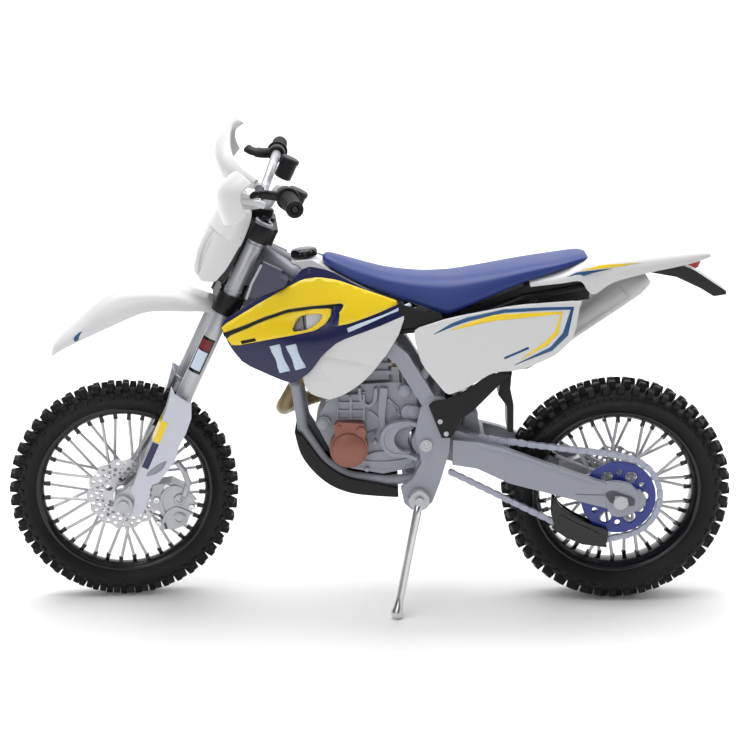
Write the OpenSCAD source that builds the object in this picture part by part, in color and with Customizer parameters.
// Off-road motorcycle display model, 1:12 scale, millimetres.
// Design frame: +X forward, +Y to the rider's left, +Z up, rear axle above x = 0.
// Front-end parts are drawn in the fork frame, whose z runs up the steering axis.

/* [Proportions] */
// Distance between the two axles
wheelbase = 123.5; // [120:0.5:127]
// Rolling radius of the front tyre
front_tyre_r = 28.5; // [28.3:0.1:28.7]
// Rolling radius of the rear tyre
rear_tyre_r = 28.6; // [28.4:0.1:28.8]

/* [Steering] */
// Lean of the steering axis from upright
rake = 25.3; // [25:0.1:25.6]
// How far the bars stand turned to the left, in degrees
bar_turn = 6.2; // [0:0.1:15]
// Distance of the front axle ahead of the steering axis, along the ground
axle_lead = 4.6; // [4.4:0.1:4.8]
// Half the distance between the fork tubes
fork_half_gap = 8.9; // [8.8:0.05:9]
// Half the width over the grips
bar_half_width = 38.6; // [37:0.1:40]

/* [Wheels] */
// Half the width of the front tyre
front_tyre_half = 3.4; // [3.2:0.1:3.5]
// Half the width of the rear tyre
rear_tyre_half = 6.0; // [5.6:0.1:6]
// Spokes on each side of a wheel
spokes_per_side = 18; // [12:1:18]
// Radius of one spoke
spoke_r = 0.28; // [0.2:0.02:0.3]

/* [Hidden] */

$fn = 48;

// Smallest gap left between two pieces that only lie against each other
gap = 0.15;
// Radial clearance of a turning or sliding fit
fit = 0.05;

// The part's origin is the middle of its outline on the ground
origin_x = (wheelbase + front_tyre_r - rear_tyre_r) / 2;
origin_y = 0;

// The front axle, in the fork frame
axle_fx = axle_lead * cos(rake);
axle_fz = -axle_lead * sin(rake);
// Fork tubes stand this far ahead of the steering axis
tube_fx = 1.5;
fork_tube_r = 2.05;
fork_leg_r = 1.6;

// Rear suspension
pivot = [47.9, 43.3];
shock_top = [43.5, 67];
shock_eye = [36.5, 48.2];
shock_length = norm(shock_top - shock_eye);
shock_lean = atan2(shock_top[0] - shock_eye[0], shock_top[1] - shock_eye[1]);
shock_pin_r = 0.8;

// Side stand
stand_pivot = [49.5, 29.5];
stand_foot = [55, 16.2];

// Muffler: middle of the seam at its tail, and its rise towards the tail
muffler_seam = [-1.5, -10, 78.3];
muffler_rise = 35;
muffler_r = 4.2;

// Ball at each bend of a bar, as a multiple of the bar's radius
knuckle = 1.1;

// Sizes of the wheels' bores and axles
axle_r = 0.9;
bore_r = axle_r + fit;

// ---------------------------------------------------------------- helpers

// An x-z outline, solid from y0 to y1
module side_plate(outline, y0, y1) {
    translate([0, y1, 0]) rotate([90, 0, 0]) linear_extrude(y1 - y0) polygon(outline);
}

// An x-y outline, solid from z0 to z1
module plan_plate(outline, z0, z1) {
    translate([0, 0, z0]) linear_extrude(z1 - z0) polygon(outline);
}

// A y-z outline, solid from x0 to x1
module front_plate(outline, x0, x1) {
    translate([x0, 0, 0]) rotate([90, 0, 90]) linear_extrude(x1 - x0) polygon(outline);
}

// A cylinder across the machine
module cross_pin(x, z, y0, y1, r) {
    translate([x, y1, z]) rotate([90, 0, 0]) cylinder(r = r, h = y1 - y0);
}

// A straight round bar between two points
module rod(a, b, r) {
    d = b - a;
    translate(a) rotate([0, acos(d[2] / norm(d)), atan2(d[1], d[0])]) cylinder(r = r, h = norm(d));
}

// A round bar that runs through a list of points. The ball at each bend is turned so that its
// poles lie clear of the bars.
module bent_rod(points, r) {
    for (i = [1 : len(points) - 1]) rod(points[i - 1], points[i], r);
    for (i = [1 : len(points) - 2]) translate(points[i]) rotate([40, 30, 0]) sphere(knuckle * r);
}

// Direction across a line of points at one of them
function across(points, i) =
    let (d = points[min(i + 1, len(points) - 1)] - points[max(i - 1, 0)]) [-d[1], d[0]] / norm(d);

// Outline of a strip of half width w along a line of points
function strip(points, w) = concat(
    [for (i = [0 : len(points) - 1]) points[i] + w * across(points, i)],
    [for (i = [len(points) - 1 : -1 : 0]) points[i] - w * across(points, i)]);

// The same shape on the left and on the right
module both_sides() {
    children();
    mirror([0, 1, 0]) children();
}

// Mirror image of a list of [across, along] points, to close a symmetric outline
function mirrored(points) = concat(points, [for (i = [len(points) - 1 : -1 : 0]) [points[i][0], -points[i][1]]]);

// Mirror image of a list of [y, z] points
function closed_section(points) = concat(points, [for (i = [len(points) - 1 : -1 : 0]) [-points[i][0], points[i][1]]]);

// Design frame into the part's own frame
module placed() {
    translate([-origin_x, -origin_y, 0]) children();
}

// Fork frame into the design frame, with the bars turned by an angle
module fork_frame(turn) {
    translate([wheelbase - axle_lead, 0, front_tyre_r]) rotate([0, -rake, 0]) rotate([0, 0, turn]) children();
}

module steered() {
    placed() fork_frame(bar_turn) children();
}

// Frame of a wheel: z runs along its axle, to the left
module rear_wheel_frame() {
    placed() translate([0, 0, rear_tyre_r]) rotate([-90, 0, 0]) children();
}

module front_wheel_frame() {
    steered() translate([axle_fx, 0, axle_fz]) rotate([-90, 0, 0]) children();
}

// ---------------------------------------------------------------- frame

spar_head = [[88.6, 2.2, 90], [80, 4.8, 85], [67, 8.4, 76]];
spar_beam = [[68, 76.6], [54, 65], [47, 53.6]];
spar_y = 8.4;
cradle_path = [[84.5, 0, 64], [79.8, 5.6, 57], [78.2, 6, 46], [72.8, 6, 37.5], [67, 6, 33.8],
    [57.5, 6, 32.6], [50.5, 6.4, 33.4], [48, 9.2, 35]];
spar_r = 1.9;
cradle_r = 1.25;
pivot_plate = [[50.7, 46], [49.4, 52.5], [47.1, 55.6], [43.5, 55], [42.4, 48.5], [42.1, 44.5], [42.3, 41.4],
    [44.4, 33.7], [46.2, 28.6], [48, 26.6], [51.2, 26.4], [53.2, 28.2], [54, 32], [51, 34.6], [49, 38.8]];

module spars(r) {
    both_sides() {
        bent_rod(spar_head, r);
        side_plate(strip(spar_beam, r), spar_y - r, spar_y + r);
    }
}

module main_frame() {
    color([0.59, 0.61, 0.67]) placed() difference() {
        union() {
            fork_frame(0) translate([0, 0, 59.3]) cylinder(r = 2.9, h = 12.4);
            spars(spar_r);
            rod([90.8, 0, 86], cradle_path[0], 1.5);
            both_sides() bent_rod(cradle_path, cradle_r);
            both_sides() side_plate(pivot_plate, 8.5, 10.5);
            cross_pin(45.4, 53.3, -8.8, 8.8, 1.2);
            cross_pin(51.3, 29.6, -8.8, 8.8, 1.3);
            cross_pin(shock_top[0], shock_top[1], -8.8, 8.8, 1);
            both_sides() rod([43.5, 8, 67], [49.5, 8.2, 59], 1.1);
        }
        fork_frame(0) translate([0, 0, 58]) cylinder(r = 1.7 + fit, h = 16);
        cross_pin(pivot[0], pivot[1], -12, 12, 1.1 + fit);
        cross_pin(stand_pivot[0], stand_pivot[1], 7, 12, 0.8 + fit);
    }
}

// Seat rails and their stays
module subframe() {
    color([0.12, 0.12, 0.13]) placed() both_sides() {
        bent_rod([[56, 7.6, 71.2], [42, 7.4, 72.6], [25, 7.2, 79.3], [8, 6.6, 82.6]], 0.9);
        bent_rod([[48.5, 7.5, 60], [31, 7.4, 68.5], [22, 7.2, 79.5]], 0.8);
    }
}

module frame_guards() {
    front = [[44.2, 45.4], [47.4, 53.5], [46.2, 54.6], [42.9, 55.2]];
    left_tail = [[38.8, 57.1], [32.5, 61.6], [27.2, 61.7], [29.2, 60.1]];
    // On the right the guard stops short of the exhaust
    right_tail = [[39, 55], [35, 53.9]];
    back = [[36.2, 52.7], [39.3, 50.2], [41.7, 45.4]];
    color([0.1, 0.1, 0.11]) placed() {
        side_plate(concat(front, left_tail, back), 10.7, 11.5);
        side_plate(concat(front, right_tail, back), -11.5, -10.7);
    }
}

module skid_plate() {
    top = [[80, 44.9], [77.6, 43.6], [72.6, 37.6], [66.9, 34.2], [56.7, 32.3], [54.7, 30.6]];
    bottom = [[55.4, 29], [66.9, 29.8], [72.6, 32.6], [78.2, 39.2]];
    inner_bottom = [[54, 30.9], [66.7, 31.4], [71.8, 34.1], [77, 40.4], [79.4, 46]];
    color([0.1, 0.1, 0.11]) placed() difference() {
        side_plate(concat(top, bottom), -8.5, 8.5);
        side_plate(concat(inner_bottom, [[70, 50], [54, 40]]), -7.4, 7.4);
    }
}

// ---------------------------------------------------------------- engine

module crankcase() {
    outline = [[75, 47.6], [72.5, 52.5], [67.8, 57.4], [54.5, 58.2], [50.2, 55.2], [50.2, 36.4], [58.4, 34.6],
        [66.3, 36], [70.8, 39.6]];
    color([0.56, 0.58, 0.64]) placed() difference() {
        union() {
            side_plate(outline, -6.8, 6.8);
            cross_pin(73, 48, -5.6, 7.9, 1.7);
            cross_pin(52.2, 50.8, 6, 8, 1.8);
            cross_pin(53.2, 56.2, -7, 8, 1.6);
            difference() {
                cross_pin(54.6, 44.3, 6, 9.6, 4.4);
                cross_pin(52.4, 44.3, 5, 12, 3.3);
            }
            side_plate([[62.8, 48.6], [69.8, 48.6], [69.8, 54.6], [62.8, 56]], 6, 7.6);
        }
        cross_pin(pivot[0], pivot[1], -12, 12, 4.4);
    }
}

module cylinder_block() {
    color([0.55, 0.57, 0.63]) placed() {
        side_plate([[57, 58.4], [70.4, 57.6], [71, 69], [57.6, 69]], -5.4, 5.4);
        for (i = [0 : 4]) side_plate([[56.4, 60 + 2 * i], [71.4, 60 + 2 * i], [71.4, 60.9 + 2 * i],
            [56.4, 60.9 + 2 * i]], -6, 6);
        side_plate([[57, 69], [71.5, 69], [70, 75.5], [59, 75.5]], -5.2, 5.2);
    }
}

module ignition_cover() {
    color([0.6, 0.36, 0.3]) placed() {
        cross_pin(66.8, 42, 6.9, 10.2, 4.7);
        cross_pin(66.8, 42, 6.9, 11, 4.1);
        side_plate([[62.9, 44], [70.1, 44], [70.4, 48.2], [69.2, 49], [63.3, 48.6], [62.5, 46.6]], 7.7, 10.4);
        cross_pin(63.8, 46.6, 7.7, 11, 1.2);
    }
}

module clutch_cover() {
    color([0.56, 0.58, 0.64]) placed() {
        cross_pin(62, 43.2, -9.8, -6.9, 6.6);
        cross_pin(62, 43.2, -10.8, -6.9, 5.4);
        for (i = [0 : 5]) cross_pin(62 + 5.9 * cos(60 * i), 43.2 + 5.9 * sin(60 * i), -10.2, -6.9, 0.6);
    }
}

header_points = [[71.6, 0, 66], [82.6, -1, 50.5], [83, -8.6, 48], [76, -10.8, 49.4], [52, -12.8, 57.5],
    [34, -11.6, 56.6], [27, -10, 58.4]];

module header_path(r) {
    bent_rod(header_points, r);
}

module exhaust_header() {
    color([0.58, 0.49, 0.33]) placed() header_path(1.9);
}

// Along the muffler, x points to its tail
module muffler_frame() {
    translate(muffler_seam) rotate([0, 180 + muffler_rise, 0]) children();
}

module muffler_body(r) {
    muffler_frame() translate([-31, 0, 0]) rotate([0, 90, 0]) cylinder(r = r, h = 31);
    muffler_frame() translate([-35, 0, 0]) rotate([0, 90, 0]) cylinder(r1 = 2.2, r2 = r, h = 4);
}

module muffler() {
    color([0.7, 0.7, 0.71]) placed() difference() {
        union() {
            muffler_body(muffler_r);
            muffler_frame() rotate([0, 90, 0]) cylinder(r1 = muffler_r, r2 = 3, h = 6.4);
        }
        muffler_frame() translate([1.5, 0, 0]) rotate([0, 90, 0]) cylinder(r = 1.9, h = 6);
    }
}

// ---------------------------------------------------------------- cooling, tank and body

module radiators() {
    color([0.33, 0.33, 0.38]) placed() difference() {
        fork_frame(0) both_sides() {
            translate([-10.2, 6.9, 45]) cube([3.4, 5.4, 22]);
            translate([-8, 10.9, 59.4]) cube([5, 1.4, 9.2]);
        }
        both_sides() shroud_skin(shroud_wall + gap, 3);
    }
}

// Slope of a shroud from its wide nose in to its tail
shroud_toe = 5.5;
shroud_wall = 1.1;
shroud_outline = [[97.4, 74.9], [89, 80.2], [80.8, 83.6], [78, 86.8], [75.9, 87.5], [71, 86.4], [63.7, 82.6],
    [53.6, 78.7], [50, 77.2], [59.3, 73.4], [69.2, 69.9], [72.8, 66.8], [75.9, 62.5], [79.8, 59.6], [83.1, 60.7],
    [91.7, 65], [94.7, 69]];
// Its cross-section at the nose, as [y, z], from the top down
shroud_section = [[9.6, 90], [12.2, 84], [14.4, 78], [15.5, 71], [15, 58]];

// The left shroud's skin, from the given depth inside its outer face to the given height outside it
module shroud_skin(inside, outside) {
    outer = [for (p = shroud_section) [p[0] + outside, p[1]]];
    inner = [for (i = [len(shroud_section) - 1 : -1 : 0]) [shroud_section[i][0] - inside, shroud_section[i][1]]];
    intersection() {
        side_plate(shroud_outline, 3, 25);
        translate([97.4, 0, 0]) rotate([0, 0, shroud_toe]) front_plate(concat(outer, inner), -60, 5);
    }
}

module shroud_left() {
    color([0.98, 0.84, 0.12]) placed() shroud_skin(shroud_wall, 0);
}

module shroud_right() {
    color([0.98, 0.84, 0.12]) placed() mirror([0, 1, 0]) shroud_skin(shroud_wall, 0);
}

module fuel_tank() {
    outline = [[80.6, 87.6], [79.6, 83.4], [77, 80], [76.2, 61.6], [75.9, 56.7], [71.3, 55.1], [63.3, 59.9],
        [60.4, 63.4], [57.8, 66.4], [54.7, 71.6], [53.5, 75.3], [53.5, 77.8], [58.3, 79.6], [70.8, 85.4],
        [72.6, 86.6], [75.5, 88.1]];
    section = [[4.2, 90], [5.6, 86], [9.5, 80.5], [11.8, 77], [12.4, 70], [12.4, 60], [11.4, 54]];
    color([0.95, 0.95, 0.94]) placed() difference() {
        intersection() {
            side_plate(outline, -13, 13);
            front_plate(closed_section(section), 50, 85);
        }
        side_plate([[50, 50], [80, 50], [80, 76.2], [50, 76.2]], -10.45, 10.45);
        spars(spar_r + gap);
        both_sides() shroud_skin(shroud_wall + gap, 6);
    }
}

module fuel_cap() {
    color([0.08, 0.08, 0.09]) placed() translate([77.6, 0, 87.95]) rotate([0, 5.6, 0]) {
        translate([0, 0, 0.1]) cylinder(r = 3, h = 1.5);
        for (i = [0 : 7]) rotate([0, 0, 45 * i]) translate([2.9, 0, 0.1]) cylinder(r = 0.7, h = 1.5);
        translate([0, 0, 0.1]) cylinder(r = 1.8, h = 2);
    }
}

module airbox() {
    color([0.1, 0.1, 0.11]) placed() {
        side_plate([[46.5, 70.5], [46.5, 73.6], [38, 75.8], [24.4, 81.6], [24.4, 66], [33, 63], [36, 70.5]], -6.1, 6.1);
        side_plate([[31, 66], [29.5, 58.7], [30.2, 54.4], [28, 51.5], [27.6, 44.8], [26.2, 44.8], [26.3, 51.9],
            [27.2, 55.9], [26.5, 66]], -5, 5);
    }
}

module seat() {
    side = [[73.3, 88.2], [71.9, 88.4], [63.4, 86.1], [56.6, 84.4], [49.8, 83.8], [43, 84.1], [34.4, 85.4],
        [24.8, 86.9], [10.7, 89.1], [8.6, 88.2], [22.7, 83.6], [37.9, 77.2], [41.7, 75.2], [45, 75], [49.5, 77.2],
        [58.3, 80.8], [70.8, 86.6]];
    plan = [[73.3, 3.2], [66, 4.6], [58, 6.6], [48, 8.8], [36, 9.3], [22, 9], [12, 7.2], [8.6, 5]];
    color([0.17, 0.24, 0.58]) placed() intersection() {
        side_plate(side, -10, 10);
        plan_plate(mirrored(plan), 70, 92);
    }
}

module rear_fender() {
    side = [[23.5, 82.9], [9.5, 87.6], [7.5, 88.6], [-12.8, 89.7], [-18.1, 89.6], [-20.6, 88.7], [-16.4, 87.9],
        [-14.1, 87.2], [-4.6, 85.8], [1.9, 84.6], [9.1, 81.4], [23, 82]];
    plan = [[23.5, 8.4], [8, 8.2], [-6, 6.8], [-14, 5], [-18.6, 3.4], [-20.6, 1.6]];
    color([0.95, 0.95, 0.94]) placed() difference() {
        intersection() {
            side_plate(side, -10, 10);
            plan_plate(mirrored(plan), 78, 92);
        }
        subframe_clearance();
    }
}

// Room for the ends of the seat rails inside the fender
module subframe_clearance() {
    both_sides() rod([25, 7.2, 79.3], [7, 6.5, 82.8], 0.9 + gap);
}

// A side panel with the ledge that turns in under the seat; only its lower edge differs from side to side
module side_panel_skin(lower_edge) {
    upper_edge = [[49.2, 63.5], [51, 70], [51.2, 72.6], [42.7, 75.4], [27.2, 78.6], [11, 79.8], [11.6, 77.9]];
    ledge = [[50.8, 71], [42.7, 75.2], [14, 79.4], [14, 78.2], [42.5, 73.8], [50.8, 69.4]];
    side_plate(concat(upper_edge, lower_edge), 10.7, 11.6);
    side_plate(ledge, 9.5, 10.8);
}

module side_panel_left() {
    rear_curve = [[12.3, 73.2], [13.3, 70], [16.8, 66.5], [21.5, 64.2], [26.8, 62.3]];
    color([0.95, 0.95, 0.94]) placed() side_panel_skin(concat(rear_curve, [[31.8, 62.2], [38.9, 57.7], [43.2, 55.9]]));
}

// The right panel is cut back along the muffler and the header
module side_panel_right() {
    color([0.95, 0.95, 0.94]) placed() mirror([0, 1, 0])
        side_panel_skin([[21.2, 68.2], [28.4, 63.2], [36, 61], [46.9, 60.6]]);
}

module plate_bracket() {
    outline = [[-5.6, 84.9], [-14.5, 86.2], [-16.9, 85.3], [-24.7, 80.2], [-24.7, 79.4], [-21.7, 78.9],
        [-18.4, 80.9], [-12.4, 83.7]];
    color([0.08, 0.08, 0.09]) placed() side_plate(outline, -3.6, 3.6);
}

module tail_lens() {
    color([0.75, 0.05, 0.04]) placed()
        side_plate([[-14.9, 86.75], [-18.3, 87.75], [-17.7, 86.1], [-17, 85.7]], -3, 3);
}

// Bolts that carry the swingarm and the side stand
module pivot_bolts() {
    color([0.75, 0.75, 0.78]) placed() {
        cross_pin(pivot[0], pivot[1], -10.6, 10.6, 1.1);
        cross_pin(pivot[0], pivot[1], 10.55, 11.3, 1.5);
        cross_pin(pivot[0], pivot[1], -11.3, -10.55, 1.5);
        cross_pin(stand_pivot[0], stand_pivot[1], 8.4, 13, 0.8);
        cross_pin(stand_pivot[0], stand_pivot[1], 12.95, 13.5, 1.1);
    }
}

module body_screws() {
    color([0.7, 0.7, 0.74]) placed() both_sides() {
        cross_pin(44.6, 49.6, 10.4, 11.8, 0.6);
        cross_pin(43.1, 46.5, 10.4, 11.8, 0.6);
    }
}

// ---------------------------------------------------------------- rear suspension

// Frame of the shock: z runs up its axis from the lower eye
module shock_frame() {
    placed() translate([shock_eye[0], 0, shock_eye[1]]) rotate([0, shock_lean, 0]) children();
}

module shock_body() {
    color([0.3, 0.3, 0.34]) shock_frame() difference() {
        union() {
            translate([0, 0, 10]) cylinder(r = 1.7, h = shock_length - 11.3);
            translate([0, 0, shock_length]) rotate([90, 0, 0]) cylinder(r = 2, h = 3, center = true);
            translate([0, 0, 15.6]) cylinder(r = 3.2, h = 0.8);
        }
        translate([0, 0, 5]) cylinder(r = 0.8 + fit, h = 9);
        translate([0, 0, shock_length]) rotate([90, 0, 0]) cylinder(r = 1 + fit, h = 6, center = true);
    }
}

module shock_rod() {
    color([0.8, 0.8, 0.82]) shock_frame() difference() {
        union() {
            cylinder(r = 0.8, h = 11.5);
            cylinder(r = 1.1, h = 2.6);
            rotate([90, 0, 0]) cylinder(r = 1.7, h = 2.6, center = true);
            translate([0, 0, 2.5]) cylinder(r = 3.1, h = 0.7);
        }
        rotate([90, 0, 0]) cylinder(r = shock_pin_r + 2 * fit, h = 6, center = true);
    }
}

// Closed sleeve in the shape of the spring's outside
module shock_spring() {
    color([0.85, 0.85, 0.87]) shock_frame() difference() {
        translate([0, 0, 3.3]) cylinder(r = 3, h = 12.2);
        translate([0, 0, 3]) cylinder(r = 1.9, h = 13);
    }
}

module swingarm() {
    arm = [[41.4, 44.4], [35, 43.8], [29, 42.3], [16.4, 37.6], [5, 33.6], [-2, 31.4], [-5.2, 31], [-6.4, 29.6],
        [-6.4, 27.6], [-5.2, 26], [-1, 25.6], [6.7, 27.6], [17.7, 30.6], [27.4, 33.2], [35.3, 37], [41.4, 38]];
    // Room for the upper run of the chain over the pivot
    chain_slot = [[33, 42.7], [43, 44.1], [43, 48], [33, 48]];
    shock_ear = [[34, 43], [39.4, 43], [37.8, 49.4], [35.2, 49.4]];
    yoke = [[47.9, 46.7], [40, 46.2], [33.2, 43.6], [33.2, 38.6], [40, 38], [47.9, 39.9]];
    color([0.59, 0.61, 0.67]) placed() difference() {
        union() {
            both_sides() side_plate(arm, 7.9, 10.1);
            side_plate(yoke, -8.2, 8.2);
            cross_pin(pivot[0], pivot[1], -8.2, 8.2, 3.5);
            both_sides() side_plate(shock_ear, 1.6, 2.8);
            cross_pin(shock_eye[0], shock_eye[1], -2.8, 2.8, shock_pin_r);
            both_sides() cross_pin(0, rear_tyre_r, 7.9, 10.6, 2.4);
        }
        cross_pin(pivot[0], pivot[1], -12, 12, 1.1 + fit);
        cross_pin(0, rear_tyre_r, -12, 12, bore_r);
        side_plate(chain_slot, 6.2, 7.8);
    }
}

// The moulded chain: both runs and the wrap round the sprocket
chain_r = 11.2;
chain_inner_r = 9.6;
sprocket_r = 9.3;

module chain() {
    upper = [[-3.4, 39.2], [2.5, 40.8], [20, 42.9], [42.2, 46], [42.2, 44.2], [20, 41.1], [2.8, 39], [-2.6, 38]];
    lower = [[-3, 18], [3.4, 18.1], [15.2, 22.6], [42.2, 36.2], [42.2, 34.4], [15.6, 20.9], [3.6, 16.4],
        [-3.4, 16.4]];
    color([0.68, 0.69, 0.76]) placed() union() {
        side_plate(upper, 6.35, 7.65);
        side_plate(lower, 6.35, 7.65);
        difference() {
            cross_pin(0, rear_tyre_r, 6.35, 7.65, chain_r);
            cross_pin(0, rear_tyre_r, 6, 8, chain_inner_r);
            side_plate([[1, 55], [20, 55], [20, 5], [1, 5]], 6, 8);
        }
    }
}

module chain_guide() {
    outline = [[16.7, 30.2], [11.5, 25.2], [5.4, 21.9], [1.9, 21.3], [2.4, 15.5], [8.7, 16.6], [14, 19], [16.6, 24]];
    inside = [[20, 31], [20, 16.5], [15.4, 20.9], [8.4, 17.6], [3.6, 16.4], [1, 16.4], [1, 31]];
    color([0.08, 0.08, 0.09]) placed() difference() {
        side_plate(outline, 5, 8.9);
        side_plate(inside, 6.1, 7.85);
        cross_pin(0, rear_tyre_r, 4, 7.85, chain_r + 0.3);
    }
}

module rear_axle() {
    color([0.75, 0.75, 0.78]) placed() {
        cross_pin(0, rear_tyre_r, -10.7, 10.7, axle_r);
        cross_pin(0, rear_tyre_r, 10.65, 11.7, 1.7);
        cross_pin(0, rear_tyre_r, -11.7, -10.65, 1.7);
    }
}

module rear_caliper() {
    color([0.5, 0.5, 0.54]) placed() difference() {
        side_plate([[13.6, 33.4], [13.6, 28.4], [7.4, 26], [6, 30], [8, 35]], -7.8, -4.9);
        cross_pin(0, rear_tyre_r, -6.85, -5.85, 10.2);
    }
}

// ---------------------------------------------------------------- wheels

// A tyre turned about its axle, from [radius, half width] points
module tyre(r, half, bead_r, bead_half) {
    depth = r - bead_r;
    half_section = [[bead_r, bead_half], [bead_r + 0.45 * depth, half], [bead_r + 0.8 * depth, half],
        [r - 0.3, 0.68 * half], [r, 0.5 * half]];
    rotate_extrude($fn = 72) polygon(mirrored(half_section));
}

module rim(r, half, depth) {
    rotate_extrude($fn = 72) polygon(mirrored([[r - depth, 0.45 * half], [r - 0.7, half], [r, half], [r, half - 0.5],
        [r - 0.6, 0.4 * half]]));
}

module spoke_set(hub_r, hub_half, rim_r, rim_half) {
    for (i = [0 : spokes_per_side - 1]) {
        a = 360 / spokes_per_side * i;
        both = [[1, a], [-1, a + 180 / spokes_per_side]];
        for (s = both) rod([hub_r * cos(s[1]), hub_r * sin(s[1]), s[0] * hub_half],
            [rim_r * cos(s[1] + s[0] * 8), rim_r * sin(s[1] + s[0] * 8), s[0] * rim_half], spoke_r);
    }
}

// A hub turned about its axle, from the disc's side to the other
module hub(core_r, flange_r, flange_half, left_end, right_end) {
    rotate_extrude() polygon([[bore_r, left_end], [core_r, left_end], [core_r, flange_half + 0.4],
        [flange_r, flange_half + 0.4], [flange_r, flange_half - 0.5], [core_r, flange_half - 1.2],
        [core_r, 1.2 - flange_half], [flange_r, 0.5 - flange_half], [flange_r, -0.4 - flange_half],
        [core_r, -0.4 - flange_half], [core_r, right_end], [bore_r, right_end]]);
}

module brake_disc(r, inner_r, y0, y1) {
    translate([0, 0, y0]) difference() {
        cylinder(r = r, h = y1 - y0);
        translate([0, 0, -1]) cylinder(r = inner_r, h = y1 - y0 + 2);
        for (i = [0 : 5]) rotate([0, 0, 60 * i]) translate([0.62 * r, 0, -1]) cylinder(r = 0.14 * r, h = 3);
    }
}

rear_rim_r = 20.9;
front_rim_r = 21.7;

module rear_tyre() {
    color([0.1, 0.1, 0.11]) rear_wheel_frame() tyre(rear_tyre_r, rear_tyre_half, rear_rim_r + 0.05, 3.4);
}

module rear_rim() {
    color([0.07, 0.07, 0.08]) rear_wheel_frame() rim(rear_rim_r, 3.8, 1.9);
}

module rear_spokes() {
    color([0.78, 0.78, 0.8]) rear_wheel_frame() spoke_set(3.9, 3.6, 19.6, 0.7);
}

module rear_hub() {
    color([0.6, 0.61, 0.66]) rear_wheel_frame() hub(3, 4.4, 3.6, 7.7, -7.7);
}

module rear_sprocket() {
    color([0.14, 0.18, 0.55]) rear_wheel_frame() difference() {
        translate([0, 0, 6.4]) cylinder(r = sprocket_r, h = 1);
        translate([0, 0, 6]) cylinder(r = 3 + fit, h = 2);
        for (i = [0 : 5]) rotate([0, 0, 60 * i]) {
            translate([6, 0, 6]) cylinder(r = 1.5, h = 2);
            rotate([0, 0, 30]) translate([6.6, 0, 6]) cylinder(r = 0.7, h = 2);
        }
    }
}

module rear_disc() {
    color([0.8, 0.8, 0.82]) rear_wheel_frame() brake_disc(9.2, 3 + fit, -6.7, -6);
}

module front_tyre() {
    color([0.1, 0.1, 0.11]) front_wheel_frame() tyre(front_tyre_r, front_tyre_half, front_rim_r + 0.05, 1.5);
}

module front_rim() {
    color([0.07, 0.07, 0.08]) front_wheel_frame() rim(front_rim_r, 1.9, 1.6);
}

module front_spokes() {
    color([0.78, 0.78, 0.8]) front_wheel_frame() spoke_set(3.5, 1.9, 20.6, 0.4);
}

module front_hub() {
    color([0.7, 0.7, 0.74]) front_wheel_frame() hub(2.2, 4, 1.9, 6.8, -6.8);
}

module front_disc() {
    color([0.8, 0.8, 0.82]) front_wheel_frame() brake_disc(9.4, 2.2 + fit, 3.3, 4);
}

// ---------------------------------------------------------------- front end, in the fork frame

module clamp_plate(z0, z1, back) {
    difference() {
        union() {
            both_sides() translate([tube_fx, fork_half_gap, z0]) cylinder(r = 3, h = z1 - z0);
            translate([-back, -fork_half_gap, z0]) cube([tube_fx + 2.6 + back, 2 * fork_half_gap, z1 - z0]);
        }
        both_sides() translate([tube_fx, fork_half_gap, z0 - 1]) cylinder(r = fork_tube_r, h = z1 - z0 + 2);
    }
}

// Lower clamp with the steering stem that turns in the head tube
module lower_clamp() {
    color([0.08, 0.08, 0.09]) steered() {
        clamp_plate(52.6, 57.6, 2);
        translate([0, 0, 57]) cylinder(r = 2.6, h = 2.15);
        translate([0, 0, 57]) cylinder(r = 1.7, h = 15);
    }
}

module top_clamp() {
    color([0.08, 0.08, 0.09]) steered() {
        clamp_plate(72.1, 76.2, 2.4);
        both_sides() translate([0, 2.6, 76]) cube([4.6, 2.6, 3.4]);
        translate([0, 0, 76]) cylinder(r = 1.9, h = 1);
    }
}

module fork_tubes() {
    color([0.75, 0.75, 0.77]) steered() both_sides() translate([tube_fx, fork_half_gap, 0]) difference() {
        translate([0, 0, 27.4]) cylinder(r = fork_tube_r, h = 49.6);
        translate([0, 0, 20]) cylinder(r = fork_leg_r + fit, h = 32);
    }
}

// Right half of the bar's path, from its middle out
bar_half_path = [[2.6, 0, 80.6], [2.6, -7, 80.6], [2.6, -14.5, 86.6], [1.9, -22, 87.4],
    [0.4, -bar_half_width + 0.8, 88]];

module handlebar() {
    right = bar_half_path;
    left = [for (i = [len(right) - 1 : -1 : 1]) [right[i][0], -right[i][1], right[i][2]]];
    color([0.8, 0.8, 0.82]) steered() bent_rod(concat(left, right), 1.15);
}

// Along the left grip, z runs inwards from the bar's end
module grip_frame() {
    tip = bar_half_path[4];
    inner = bar_half_path[3];
    d = inner - tip;
    translate([tip[0], -tip[1], tip[2]]) rotate([0, acos(d[2] / norm(d)), atan2(-d[1], d[0])]) children();
}

module grips() {
    color([0.1, 0.1, 0.11]) steered() both_sides() grip_frame() difference() {
        union() {
            translate([0, 0, -0.8]) cylinder(r = 1.95, h = 11.4);
            translate([0, 0, 9.8]) cylinder(r = 2.6, h = 0.9);
        }
        cylinder(r = 1.15, h = 12);
    }
}

// Clutch and brake levers with their perches and reservoirs
module levers() {
    color([0.08, 0.08, 0.09]) steered() both_sides() {
        grip_frame() difference() {
            translate([0, 0, 11.2]) cylinder(r = 2.1, h = 3.4);
            translate([0, 0, 10]) cylinder(r = 1.15, h = 6);
        }
        rod([3.6, 24.6, 86.6], [8.2, 23.4, 84.4], 1.3);
        rod([7.4, 23.8, 84.6], [8.6, 36, 84.4], 0.75);
    }
    color([0.08, 0.08, 0.09]) steered() both_sides() translate([-3.4, 16.6, 83.8]) cube([4, 4, 5]);
}

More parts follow.
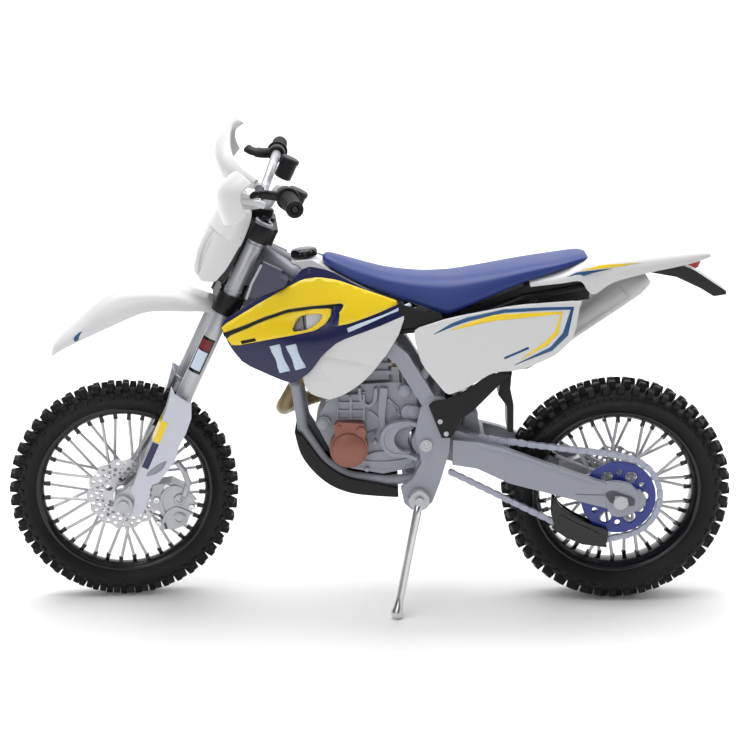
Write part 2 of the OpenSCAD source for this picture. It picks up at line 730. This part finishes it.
// Wind guards in front of the hands, each on an arm from the bar
module hand_guards() {
    face = [[14.3, 89], [16.3, 84.5], [15.5, 80.9], [11.9, 77.4], [10.6, 78.2], [13.4, 81.6], [14.2, 84.6],
        [13, 88]];
    arm = [[11.9, 77.4], [6.1, 78.7], [3.6, 79.9], [3.8, 81.6], [7.2, 80.9], [11, 79.6]];
    color([0.95, 0.95, 0.94]) steered() both_sides() {
        side_plate(face, 22, 37);
        side_plate([[15.5, 80.9], [11.9, 77.4], [10.6, 78.2], [13.4, 81.6]], 12, 24);
        side_plate(arm, 11, 14);
    }
}

module headlight_mask() {
    outline = [[5.3, 76.4], [8.6, 79.2], [10.9, 78.2], [12, 73], [13.2, 65.4], [11.6, 57.2], [6.3, 59.2],
        [4.8, 67.5]];
    lens_cut = [[20, 70], [9, 70], [9, 58.4], [20, 58.4]];
    color([0.95, 0.95, 0.94]) steered() difference() {
        intersection() {
            side_plate(outline, -11, 11);
            plan_plate(mirrored([[13.6, 4.6], [11.2, 8.6], [4.2, 10.4]]), 50, 90);
        }
        intersection() {
            side_plate([[4, 75], [8.6, 77.8], [10, 77], [10.9, 73], [12, 65.4], [10.6, 55], [4, 55]], -11, 11);
            plan_plate(mirrored([[12.4, 4], [10.2, 7.5], [3, 9.3]]), 50, 90);
        }
        side_plate(lens_cut, -3.6, 3.6);
    }
}

// Black carrier between the mask and the fork tubes
module headlight_housing() {
    outline = [[4.75, 74.8], [6.4, 74.8], [7.4, 70], [8.2, 61.2], [6.6, 58.8], [4.75, 58.8]];
    cheek = [[3.9, 71.8], [4.9, 71.8], [4.9, 67.5], [5.6, 60.2], [4.2, 58.9], [3.9, 60]];
    color([0.08, 0.08, 0.09]) steered() {
        side_plate(outline, -7.2, 7.2);
        both_sides() side_plate(cheek, 7, 8.8);
    }
}

module headlight_lens() {
    color([0.8, 0.82, 0.84]) steered()
        side_plate([[12.6, 69.8], [8.4, 69.8], [8.4, 58.6], [11.4, 58.6], [12.9, 65.4]], -3.45, 3.45);
}

module front_fender() {
    top = [[34, 23.8], [34.2, 25.9], [31.5, 33.8], [28.7, 40.7], [25.7, 45.2], [22, 48.3], [16.7, 50.6],
        [12.7, 51.8], [4, 52.3], [-5, 52.3]];
    under = [[-5, 50.8], [4, 50.8], [12.4, 50.2], [16, 49], [21, 46.8], [24.6, 43.8], [27.4, 39.6], [30.2, 33]];
    skirt = [[30.7, 29], [25.5, 35.4], [22, 39.8], [18.1, 44.5], [12.9, 47], [5.2, 49], [4, 52]];
    plan = [[35, 2.2], [32, 4.6], [24, 6], [6, 6.4], [-6, 5.6]];
    color([0.95, 0.95, 0.94]) steered() intersection() {
        union() {
            side_plate(concat(top, under), -7, 7);
            both_sides() side_plate(concat([for (i = [2 : 8]) top[i]], [skirt[6]], [for (i = [5 : -1 : 0]) skirt[i]]),
                5.2, 7);
        }
        plan_plate(mirrored(plan), 0, 60);
    }
}

// ---------------------------------------------------------------- sliding part of the fork

module fork_lowers() {
    foot = [[tube_fx - 1.9, 6], [tube_fx + 1.9, 6], [axle_fx + 2, axle_fz + 1.4], [axle_fx, axle_fz - 2.2],
        [tube_fx - 1.4, axle_fz - 1.6]];
    color([0.72, 0.72, 0.75]) steered() both_sides() difference() {
        union() {
            translate([tube_fx, fork_half_gap, 1]) cylinder(r = fork_leg_r, h = 42);
            side_plate(foot, 7.4, 10.4);
            cross_pin(axle_fx, axle_fz, 7.1, 11.4, 2.3);
        }
        cross_pin(axle_fx, axle_fz, 6, 12, bore_r);
    }
}

module fork_guards() {
    face = [[5.2, 30], [4.4, 24.9], [4.2, 13.4], [4.1, 2.7], [2.3, 1.2], [1.3, -2.7], [-0.4, -2.9], [-0.8, -0.7],
        [0, 6.2], [-1.3, 7.4], [-2.7, 14], [-2.1, 18], [-2.3, 21.8], [-1.9, 26], [-0.6, 29]];
    color([0.86, 0.87, 0.9]) steered() both_sides() {
        side_plate(face, 11.45, 12.4);
        side_plate([[5.2, 30], [4.4, 24.9], [4.2, 13.4], [4.1, 6], [3.75, 6], [3.75, 28.6]], 7.4, 11.5);
    }
}

module front_caliper() {
    body = [[-12.4, 3.4], [-13, -2.4], [-11, -4.6], [-7.4, -6.4], [-5.6, -2], [-2.6, -1.4], [-1, 4], [-5, 6.6],
        [-9.4, 6.4]];
    color([0.62, 0.63, 0.66]) steered() difference() {
        side_plate(body, 2.3, 6.6);
        cross_pin(axle_fx, axle_fz, 3.05, 4.25, 10);
    }
    // Brake hose from the guard down to the caliper
    color([0.8, 0.81, 0.84]) steered()
        bent_rod([[-3.6, 9.6, 13.2], [-6.3, 9, 11.4], [-8.6, 8, 8.6], [-9.2, 6.9, 5], [-9.2, 6, 3]], 0.75);
}

module front_axle() {
    color([0.75, 0.75, 0.78]) steered() {
        cross_pin(axle_fx, axle_fz, -11.5, 11.5, axle_r);
        cross_pin(axle_fx, axle_fz, 11.45, 12, 1.3);
        cross_pin(axle_fx, axle_fz, -12, -11.45, 1.3);
    }
}

// ---------------------------------------------------------------- side stand

module side_stand() {
    hip = [stand_pivot[0], 11.75, stand_pivot[1]];
    color([0.8, 0.8, 0.82]) placed() difference() {
        union() {
            cross_pin(stand_pivot[0], stand_pivot[1], 10.7, 12.7, 2.65);
            rod(hip, [stand_foot[0], stand_foot[1], 1], 1.05);
            translate([stand_foot[0], stand_foot[1], 0]) cylinder(r1 = 1.6, r2 = 1.3, h = 2.2);
        }
        cross_pin(stand_pivot[0], stand_pivot[1], 9, 14, 0.8 + fit);
    }
}

// ---------------------------------------------------------------- nodes

main_frame();
subframe();
crankcase();
cylinder_block();  // cylinder
ignition_cover();
clutch_cover();
exhaust_header();
muffler();
skid_plate();
radiators();
fuel_tank();
fuel_cap();
shroud_left();
shroud_right();
airbox();
seat();
rear_fender();
side_panel_left();
side_panel_right();
plate_bracket();
tail_lens();
frame_guards();
pivot_bolts();
body_screws();
shock_body();
shock_spring();
shock_rod();
swingarm();
chain();
chain_guide();
rear_axle();
rear_caliper();
rear_tyre();
rear_rim();
rear_spokes();
rear_hub();
rear_sprocket();
rear_disc();
lower_clamp();
top_clamp();
fork_tubes();
handlebar();
grips();
levers();
hand_guards();
headlight_mask();
headlight_housing();
headlight_lens();
front_fender();
fork_lowers();
fork_guards();
front_caliper();
front_axle();
front_tyre();
front_rim();
front_spokes();
front_hub();
front_disc();
side_stand();
